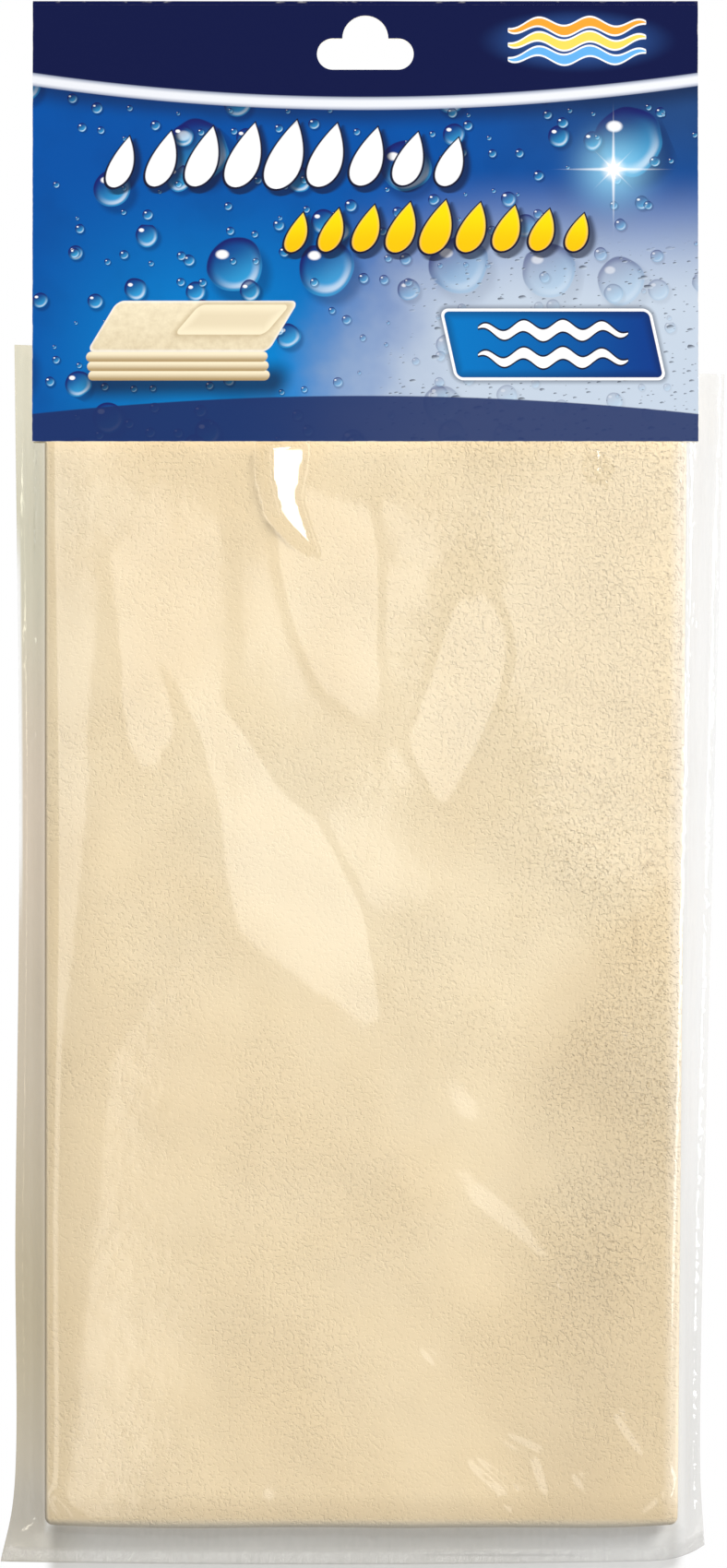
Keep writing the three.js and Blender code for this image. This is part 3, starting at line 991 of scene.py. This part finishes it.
def suedeRise(point, broad, cloud, rough):
    # the height of the nap: softly uneven, pebbled and pitted
    grain = add(point.tree, "TexVoronoi", {"Vector": point, "Scale": 820, "Randomness": 1},
                feature="SMOOTH_F1")
    pebble = grain.out("Distance") * 0.6 + noise(point, 1400, 3, 0.7) * 0.6
    pits = stepped(noise(point, 900, 2, 0.6), 0.47, 0.38)
    fine = (pebble * suede["pebble"] - pits * suede["pits"]) * rough
    return (broad * 2.2 + cloud * 0.5) * suede["soft"] + fine


def suedeMaterial():
    material, tree = begun(bpy.data.materials.new("suede"))
    point, x, z = surfacePoint(tree)
    broad, cloud = noise(point, 9, 3, 0.5, 0.3), noise(point, 45, 4, 0.6)
    rough = suedeRough(point, x, z)
    nap = {
        "Base Color": suedeTone(point, x, z, broad, cloud, rough),
        "Roughness": suede["roughness"],
        "Specular IOR Level": 0.12,
        "Sheen Weight": suede["sheen"],
        "Sheen Roughness": 0.45,
        "Sheen Tint": (1, 0.96, 0.88, 1),
        "Normal": bumped(suedeRise(point, broad, cloud, rough), 1, suede["bump"]),
    }
    return finished(material, add(tree, "BsdfPrincipled", nap))


bagFilm = bagMesh(filmMaterial())
print("bag lofted")
chamois = skinMesh(suedeMaterial())
print("skin folded")


# Header card print

cardArt = {
    "navy": rgb(4, 14, 62),
    "glow": rgb(60, 110, 190),
    "silver": rgb(228, 231, 238),
    "silverShade": rgb(140, 150, 174),
    "deepBlue": rgb(0, 76, 156),
    "brightBlue": rgb(0, 124, 198),
    "duskBlue": rgb(30, 66, 118),
    "pale": rgb(188, 201, 217),
    "footLeft": rgb(24, 44, 96),
    "footRight": rgb(38, 54, 100),
    "topBand": -27,  # the bands' edges at the middle of the card
    "footBand": -126,
    "beadDark": rgb(20, 26, 98),
    "beadLight": rgb(70, 190, 240),
    "white": rgb(250, 250, 252),
    "yellow": rgb(254, 216, 6),
    "yellowDeep": rgb(248, 190, 4),
    "ink": rgb(14, 18, 44),
    "cream": rgb(240, 228, 198),
    "creamShade": rgb(170, 146, 104),
    "flare": rgb(150, 215, 245),
    "rows": [
        {"at": (-26, -46), "foot": "white", "top": "white",
         "sizes": {"Pitch": 13.6, "Each side": 4, "Tall": 23, "Wide": 12, "Slant": 0.3, "Bow": -3}},
        {"at": (24, -70), "foot": "yellowDeep", "top": "yellow",
         "sizes": {"Pitch": 11.6, "Each side": 4, "Tall": 18, "Wide": 10, "Slant": 0.3, "Bow": -3}},
    ],
    # fields of beads: cell, share of cells with one, the largest radius in cells, offset
    "beads": [(36, 0.72, 0.32, 10), (17, 0.6, 0.27, 40), (8.5, 0.5, 0.23, 90)],
    "spots": [(7, 0.4), (3.6, 0.45)],  # cell, share of cells with one
    "cloth": {"at": (-57, -103), "wide": 30, "tall": 8.5, "slant": 0.6, "folds": 3, "foldTall": 3.1},
    "plate": {"at": (62, -109), "wide": 35, "tall": 12, "slant": -0.22, "corner": 3, "rises": (4.6, -4.4),
              "left": rgb(0, 112, 186), "right": rgb(8, 54, 130),
              "stroke": {"Half long": 25, "Swing": 1.6, "Wave": 13, "Thick": 1.9}},
    "star": (82, -51),
    "waves": {"at": (70, -8.4), "pitch": 4.8,
              "colours": [rgb(246, 160, 50), rgb(252, 214, 92), rgb(98, 172, 232)],
              "stroke": {"Half long": 23, "Swing": 1.5, "Wave": 17, "Thick": 1.5}},
}


def flatPoint(across, up):
    return add(across.tree, "CombineXYZ", {"X": across, "Y": up})


def beadField(given):
    # water beads of several sizes, one to a cell
    x, y = given["Across"] / given["Cell"], given["Height"] / given["Cell"]
    at = flatPoint(x, y)
    cells = add(at.tree, "TexVoronoi", {"Vector": at, "Scale": 1, "Randomness": 0.85},
                voronoi_dimensions="2D")
    chance, growth, _ = parts(cells.out("Color"), "Color")
    middleX, middleY, _ = parts(cells.out("Position"))
    there = chance.math("LESS_THAN", given["Share"])
    radius = (growth**1.5 * 0.68 + 0.32) * given["Largest"] * there + 0.0001
    across, up = (x - middleX) / radius, (y - middleY) / radius
    uneven = (noise(at, 2.2, 1) - 0.5) * given["Wobble"] * 2 + 1
    away = cells.out("Distance") / radius * uneven
    bead = stepped(away, 1, 0.94) * there
    shade = stepped(across * 0.5 - up * 0.87, -0.75, 0.9)
    lower = stepped(away, 0.55, 0.75) * stepped(away, 0.92, 0.8) * shade**4
    upper = stepped((across * 0.9 + 0.4) ** 2 + (up - 0.42) ** 2 * 1.6, 0.06, 0.015)
    return {
        "Bead": bead,
        "Rim": stepped(away, 0.66, 0.95) * bead * (1 - shade * 0.75),
        "Shade": shade,
        "Glint": (lower * 0.55 + upper).clamped() * bead,
        "Shadow": stepped(distance(across - 0.22, up + 0.3), 1.25, 0.85) * there * (1 - bead),
    }


def dropRow(given):
    # a bowed row of slanted drops, the largest in the middle
    pitch, many = given["Pitch"], given["Each side"]
    v = given["Height"] - (given["Across"] / 60) ** 2 * given["Bow"]
    u = given["Across"] - v * given["Slant"]
    number = (u / pitch).math("ROUND").atMost(many).atLeast(many * -1)
    share = 1 - number.size() * 0.07
    level = v / (share * given["Tall"] * 0.5 + given["Grown"])
    rounded, pointed = (level + 1).atLeast(0) ** 0.5, (1 - level).atLeast(0)
    half = rounded * pointed / 1.09 * (share * given["Wide"] * 0.5 + given["Grown"])
    gone = stepped(level.size(), 0.98, 1.12, 0, 4)
    return {"Inside": half - (u - number * pitch).size() - gone, "Level": level}


def slantedPatch(given):
    # how deep a point lies inside a leaning rectangle with round corners, below 0 outside
    v, corner = given["Height"], given["Corner"]
    across = (given["Across"] - v * given["Slant"]).size() - given["Half wide"] + corner
    up = v.size() - given["Half tall"] + corner
    outside = distance(across.atLeast(0), up.atLeast(0))
    return {"Depth": corner - outside - across.atLeast(up).atMost(0)}


def waveStroke(given):
    # a tapering wavy brush stroke
    u = given["Across"]
    middle = (u * (2 * math.pi) / given["Wave"]).math("SINE") * given["Swing"]
    taper = (1 - (u / given["Half long"]) ** 2).atLeast(0) ** 0.6
    inside = taper * given["Thick"] - (given["Height"] - middle).size()
    return {"Inside": inside - stepped(taper, 0.1, 0, 0, 2)}


onCard = {"Across": 0, "Height": 0}
beadSizes = {"Cell": 20, "Share": 0.5, "Largest": 0.3, "Wobble": 0.25}
beads = newGroup("bead field", {**onCard, **beadSizes}, beadField)
dropSizes = {"Pitch": 11, "Each side": 5, "Tall": 16, "Wide": 7, "Slant": 0.25, "Bow": 0, "Grown": 0}
drops = newGroup("drop row", {**onCard, **dropSizes}, dropRow)
patchSizes = {"Half wide": 20, "Half tall": 10, "Slant": 0.2, "Corner": 3}
patch = newGroup("slanted patch", {**onCard, **patchSizes}, slantedPatch)
strokeSizes = {"Half long": 16, "Swing": 1.4, "Wave": 14, "Thick": 1.2}
stroke = newGroup("wave stroke", {**onCard, **strokeSizes}, waveStroke)


def cardPrint(given):
    # the printed colours, with the motifs left off where Motifs is 0
    art = cardArt
    u, v, motifs = given["Across"], given["Height"], given["Motifs"]
    bright = stepped(v, -45, -118) * stepped((u + 48).size(), 78, 8)
    colour = mixed(bright, art["deepBlue"], art["brightBlue"])

    def paint(share, tone):
        nonlocal colour
        colour = mixed(share, colour, tone)

    def draw(shape, low, high, tone, strength=1):
        # paints where the shape's value is above high, and less and less down to low
        paint(stepped(shape, low, high, 0, strength) * motifs, tone)

    def placed(group, at, stretch=1, **sizes):
        sockets = {"Across": u - at[0], "Height": (v - at[1]) * stretch, **sizes}
        return add(u.tree, "Group", sockets, node_tree=group)

    def leaning(at, wide, tall, slant, corner):
        return placed(patch, at, **dict(zip(patchSizes, (wide, tall, slant, corner))))

    # the ground: blue that pales towards the lower right
    mottle = noise(flatPoint(u, v), 0.05, 3)
    pale = stepped(u - v * 0.4 + (mottle - 0.5) * 30, 12, 84) * stepped(v, -50, -98)
    paint(stepped(u, 15, 100) * stepped(v, -80, -25), art["duskBlue"])
    paint((mottle - 0.45).clamped() * 0.5, art["navy"])
    paint(pale, art["pale"])

    # water beads, fewer where the ground is pale, and flat dark drops there
    faded = (1 - pale * 0.75) * motifs
    for cell, share, largest, left in art["beads"]:
        field = placed(beads, (left, 0), Cell=cell, Share=share, Largest=largest)
        paint(field.out("Shadow") * faded * 0.4, art["navy"])
        dark, light = mixed(0.6, colour, art["beadDark"]), mixed(0.5, colour, art["beadLight"])
        paint(field.out("Bead") * faded, mixed(field.out("Shade"), dark, light))
        paint(field.out("Rim") * faded * 0.95, art["beadDark"])
        paint(field.out("Glint") * faded * 0.9, art["white"])
    for cell, share in art["spots"]:
        spots = placed(beads, (15, 4), 2.1, Cell=cell, Share=share, Largest=0.22, Wobble=0.6)
        tone = mixed(spots.out("Shade"), art["ink"], art["pale"])
        paint(spots.out("Bead") * stepped(pale, 0.45, 0.8, 0, 0.75) * motifs, tone)

    # a folded cloth
    cloth = art["cloth"]
    left, middle = cloth["at"]
    wide, tall, slant = cloth["wide"], cloth["tall"], cloth["slant"]
    folds, foldTall = cloth["folds"], cloth["foldTall"]
    foot = middle - tall - folds * foldTall
    draw(leaning((left - 2, foot - 0.5), wide + 3, 5, 0.2, 5), -4, 4, art["ink"], 0.8)
    for number in range(folds, 0, -1):
        bandV = middle - tall - (number - 0.5) * foldTall
        at = (left - tall * slant - 0.5 + 0.35 * number, bandV)
        tone = mixed(stepped(v - bandV, -foldTall * 0.5, foldTall * 0.4), art["creamShade"], art["cream"])
        draw(leaning(at, wide, foldTall * 0.56, 0.12, foldTall * 0.56), -0.1, 0.2, tone)
    top = leaning(cloth["at"], wide, tall, slant, 2.5)
    nap = noise(flatPoint(u, v), 0.35, 4, 0.65)
    shade = ((nap - 0.35) * 1.2).clamped() * 0.6 + stepped(v, middle + 9, middle - 9, 0, 0.2)
    tone = mixed(shade, art["cream"], art["creamShade"])
    draw(top, -0.1, 0.2, mixed(stepped(top, 1.2, 0.1, 0, 0.5), tone, art["white"]))
    flap = leaning((left + 13, middle + 2.2), 15, 5, 0.85, 2)
    paint(stepped(flap, -2.4, 0.4) * stepped(top, 0, 0.5, 0, 0.5) * motifs, art["creamShade"])
    draw(flap, -0.1, 0.2, mixed(stepped(flap, 0, 4, 0, 0.25), art["cream"], art["creamShade"]))

    # a framed plate of waves
    plate = art["plate"]
    depth = leaning(plate["at"], plate["wide"], plate["tall"], plate["slant"], plate["corner"])
    ground = mixed(stepped(u, 25, 100), plate["left"], plate["right"])
    ground = mixed(stepped(depth, 4.5, 0.8, 0, 0.45), ground, art["ink"])
    draw(depth, -1.8, 0.2, art["ink"], 0.5)
    draw(depth, 0, 0.3, art["white"])
    draw(depth, 0.9, 1.2, ground)
    for rise in plate["rises"]:
        line = placed(stroke, (plate["at"][0], plate["at"][1] + rise), **plate["stroke"])
        draw(line, -0.8, -0.4, art["ink"])
        draw(line, -0.12, 0.15, art["white"])

    # a burst of light
    beside, up = (u - art["star"][0]).size(), (v - art["star"][1]).size()
    away = distance(beside, up)
    rays = stepped(beside * 0.045 + up, 1, 0) + stepped(up * 0.04 + beside, 1, 0)
    diagonal = stepped(away * 0.09 + (beside - up).size(), 1, 0)
    paint(stepped(away, 24, 0) ** 2 * motifs * 0.7, art["flare"])
    paint((rays * 0.9 + diagonal * 0.5 + stepped(away, 5, 0)).clamped() * motifs, art["white"])

    # rows of drops
    for line in art["rows"]:
        (left, middle), sizes = line["at"], line["sizes"]
        draw(placed(drops, (left + 1.6, middle - 1.6), **sizes, Grown=0.8), -1.2, 1, art["ink"], 0.75)
        draw(placed(drops, line["at"], **sizes, Grown=0.7), 0, 0.3, art["ink"])
        drop = placed(drops, line["at"], **sizes)
        tone = mixed(stepped(drop.out("Level"), -0.8, 0.8), art[line["foot"]], art[line["top"]])
        draw(drop, 0, 0.3, mixed(stepped(drop, 1.1, 0.1, 0, 0.25), tone, art["silverShade"]))

    # the bands at the top and the foot
    arc = (u * 2 / card["width"]) ** 2
    over = v - arc * 8 - art["topBand"]
    paint(stepped(over, -12, -4, 0, 0.6), art["ink"])
    silver = mixed(stepped((over + 2.2).size(), 2.4, 0.6), art["silverShade"], art["silver"])
    paint(stepped(over, -4.5, -4.1), silver)
    strokes = art["waves"]
    left, middle = strokes["at"]
    glow = stepped(((u - left) / 34) ** 2 + ((v - middle) / 11) ** 2, 1, 0) * motifs
    paint(stepped(over, -0.25, 0.25), mixed(glow * 0.4, art["navy"], art["glow"]))
    for number, tone in enumerate(strokes["colours"]):
        line = placed(stroke, (left, middle + (1 - number) * strokes["pitch"]), **strokes["stroke"])
        draw(line, -0.7, -0.4, art["white"])
        draw(line, -0.12, 0.15, tone)
    band = mixed(stepped(u, -60, 40), art["footLeft"], art["footRight"])
    paint(stepped(art["footBand"] - v - arc * 6, -0.25, 0.25, 0, 0.97), band)
    return {"Color": colour}


def boardWear(given):
    # pale worn paper along the card's outline and over its crease, and the paper's fibre
    point, v = given["Vector"], given["Height"]
    edge = (card["width"] / 2 - given["Across"].size()).atMost(v - card["foot"])
    patchy = noise(point, 260, 3, 0.6)
    reach = patchy * given["Reach"] * 2 - 0.25
    overCrease = stepped(v, card["slotDrop"] - 1, card["slotDrop"]) * stepped(patchy, 0.55, 0.75)
    wear = (stepped(edge - reach, 0.1, -0.1) * 0.7).atLeast(overCrease * 0.5)
    return {"Wear": wear, "Fibre": noise(point, 1600, 2, 0.6)}


printed = newGroup("card print", {**onCard, "Motifs": 1}, cardPrint)
worn = newGroup("board wear", {**onCard, "Vector": None, "Reach": 0.5}, boardWear)

board = {
    "dark": rgb(224, 221, 212),
    "pale": rgb(240, 238, 232),
    "wearReach": 0.3,
    "roughness": 0.8,
    "printRoughness": 0.35,
    "fibreHeight": 0.00002,  # metres
}


def boardMaterial(name, side, motifs):
    # side is -1 for the front panel and 1 for the back one
    material, tree = begun(bpy.data.materials.new(name))
    point, x, v = surfacePoint(tree)
    at = {"Across": x * -side, "Height": v}
    _, facing, _ = parts(add(tree, "TexCoord").out("Normal"))
    outward = stepped(facing * side, 0.2, 0.5).atLeast(stepped(v, card["creaseZ"], card["creaseZ"] + 0.2))
    colour = add(tree, "Group", {**at, "Motifs": motifs}, node_tree=printed)
    edge = add(tree, "Group", {**at, "Vector": point, "Reach": board["wearReach"]}, node_tree=worn)
    fibre = edge.out("Fibre")
    bare = mixed(fibre, board["dark"], board["pale"])
    roughness = outward * (board["printRoughness"] - board["roughness"]) + board["roughness"]
    paper = {
        "Base Color": mixed(outward, bare, mixed(edge.out("Wear"), colour, bare)),
        "Roughness": roughness + (fibre - 0.5) * 0.1,
        "Specular IOR Level": 0.08,
        "Normal": bumped(fibre, board["fibreHeight"], 0.25),
    }
    return finished(material, add(tree, "BsdfPrincipled", paper))


tape = {
    "dark": rgb(226, 219, 200),
    "pale": rgb(242, 238, 226),
    "glueScale": 420,
    "glueHeight": 0.00008,  # metres
}


def tapeMaterial():
    # milky double-sided tape with a faint weave of glue
    material, tree = begun(bpy.data.materials.new("milkyTape"))
    glue = noise(surfacePoint(tree)[0], tape["glueScale"], 3, 0.6)
    milky = {
        "Base Color": mixed(glue, tape["dark"], tape["pale"]),
        "Roughness": glue * 0.2 + 0.35,
        "Specular IOR Level": 0.3,
        "Normal": bumped(glue, tape["glueHeight"], 0.5),
    }
    return finished(material, add(tree, "BsdfPrincipled", milky))


def dress(node, material):
    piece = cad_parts[node]
    if not piece.material_slots:
        piece.data.materials.append(None)
    for slot in piece.material_slots:
        slot.link = "OBJECT"
        slot.material = material
    return piece


crease = {
    "steps": 20,  # round the fold
    "stations": 90,  # along it
    "dent": 0.035,
    "dentLengths": (9, 60),
    "seed": 21,
    "scoreLeft": 0.02,  # of the gap before the front panel
    "sharpFrom": 50,  # degrees
}


def creaseMesh(material):
    # the card's rounded fold, running on at the front until it meets the panel
    tilt, steps, stations = card["tilt"], crease["steps"], crease["stations"]
    angles = np.linspace(tilt, math.pi - tilt, steps)
    run = card["scoreGap"] - crease["scoreLeft"]
    loops = []
    for radius in (card["creaseOuter"], card["creaseInner"]):
        arc = np.stack([radius * np.cos(angles), card["creaseZ"] + radius * np.sin(angles)], axis=1)
        leg = arc[-1] - run * np.array([math.sin(tilt), math.cos(tilt)])
        loops.append(np.vstack([arc, leg]))
    profile = np.vstack([loops[0], loops[1][::-1]])
    count = len(profile)
    across = np.linspace(-card["width"] / 2, card["width"] / 2, stations)
    points = np.zeros((stations, count, 3))
    points[..., 0] = across[:, None]
    points[..., 1:] = profile
    flexed = crease["dent"] * np.minimum(0, waves(across, across * 0, crease["seed"], crease["dentLengths"]))
    points[:, :steps, 2] += flexed[:, None] * np.sin(np.linspace(0, np.pi, steps))
    one, other = np.arange(count // 2 - 1), count - 1 - np.arange(count // 2 - 1)
    cap = np.stack([one, one + 1, other - 1, other], axis=1)
    farCap = cap[:, ::-1] + (stations - 1) * count
    quads = np.vstack([gridQuads(stations, count, closed=True), cap, farCap])
    piece = meshPiece("header_fold", points, quads, material, "pack")
    piece.data.set_sharp_from_angle(angle=math.radians(crease["sharpFrom"]))
    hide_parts("header_crease")


frontBoard, backBoard = boardMaterial("printedFront", -1, 1), boardMaterial("printedBack", 1, 0)
creaseMesh(frontBoard)
# the light in the photograph is so frontal that the card's foot leaves no shadow on the leather
dress("header_front_panel", frontBoard).visible_shadow = False
dress("header_back_panel", backBoard)
milkyTape = tapeMaterial()
dress("front_adhesive_strip", milkyTape)
dress("back_adhesive_strip", milkyTape)
print("card printed")
